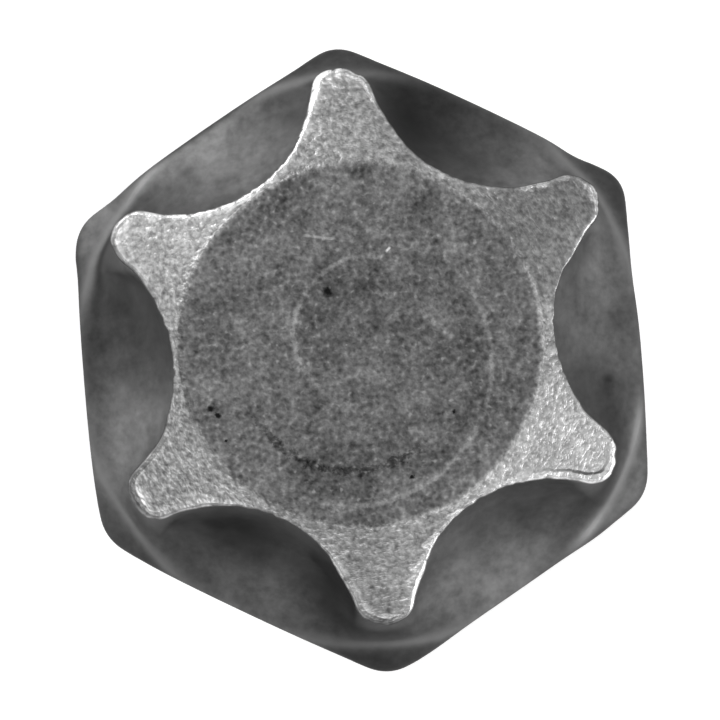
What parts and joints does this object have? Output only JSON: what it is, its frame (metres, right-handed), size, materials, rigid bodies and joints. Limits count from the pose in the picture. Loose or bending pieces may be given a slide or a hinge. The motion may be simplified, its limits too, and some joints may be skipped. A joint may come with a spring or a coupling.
{
  "type": "torx bit socket",
  "caption": "Long six-lobe bit of hexagonal bar, clamped by a set screw in a knurled square-drive holder that turns it from a ratchet.",
  "frame": {"origin": "centre of the drive face, which the socket stands on", "axes": "+Z along the axis from the drive face to the star-shaped end, +X out through the set screw"},
  "size_m": [0.017, 0.017, 0.1],
  "materials": {
    "holder_chrome": "satin chrome plate on steel",
    "bit_steel": "dark grey phosphated steel with bare turned metal at the star-shaped end",
    "screw_steel": "black oxide",
    "tip_brass": "turned brass"
  },
  "bodies": {
    "holder": {"holder_body": "holder_chrome"},
    "bit": {"star_bit": "bit_steel"},
    "tip": {"screw_tip": "tip_brass"},
    "screw": {"set_screw": "screw_steel"}
  },
  "joints": [
    {"name": "bit_slide", "type": "slide", "parent": "holder", "child": "bit", "axis": [0, 0, 1], "range_m": [0, 0.022]},
    {"name": "tip_slide", "type": "slide", "parent": "holder", "child": "tip", "axis": [1, 0, 0], "range_m": [0, 0.0021]},
    {"name": "screw_turn", "type": "hinge", "parent": "tip", "child": "screw", "pos_m": [0.007, 0, 0.023], "axis": [1, 0, 0], "range_deg": [0, 1080]}
  ],
  "couplings": [
    {"joint": "screw_turn", "follows": "tip_slide", "rad_per_m": 8975.9}
  ]
}
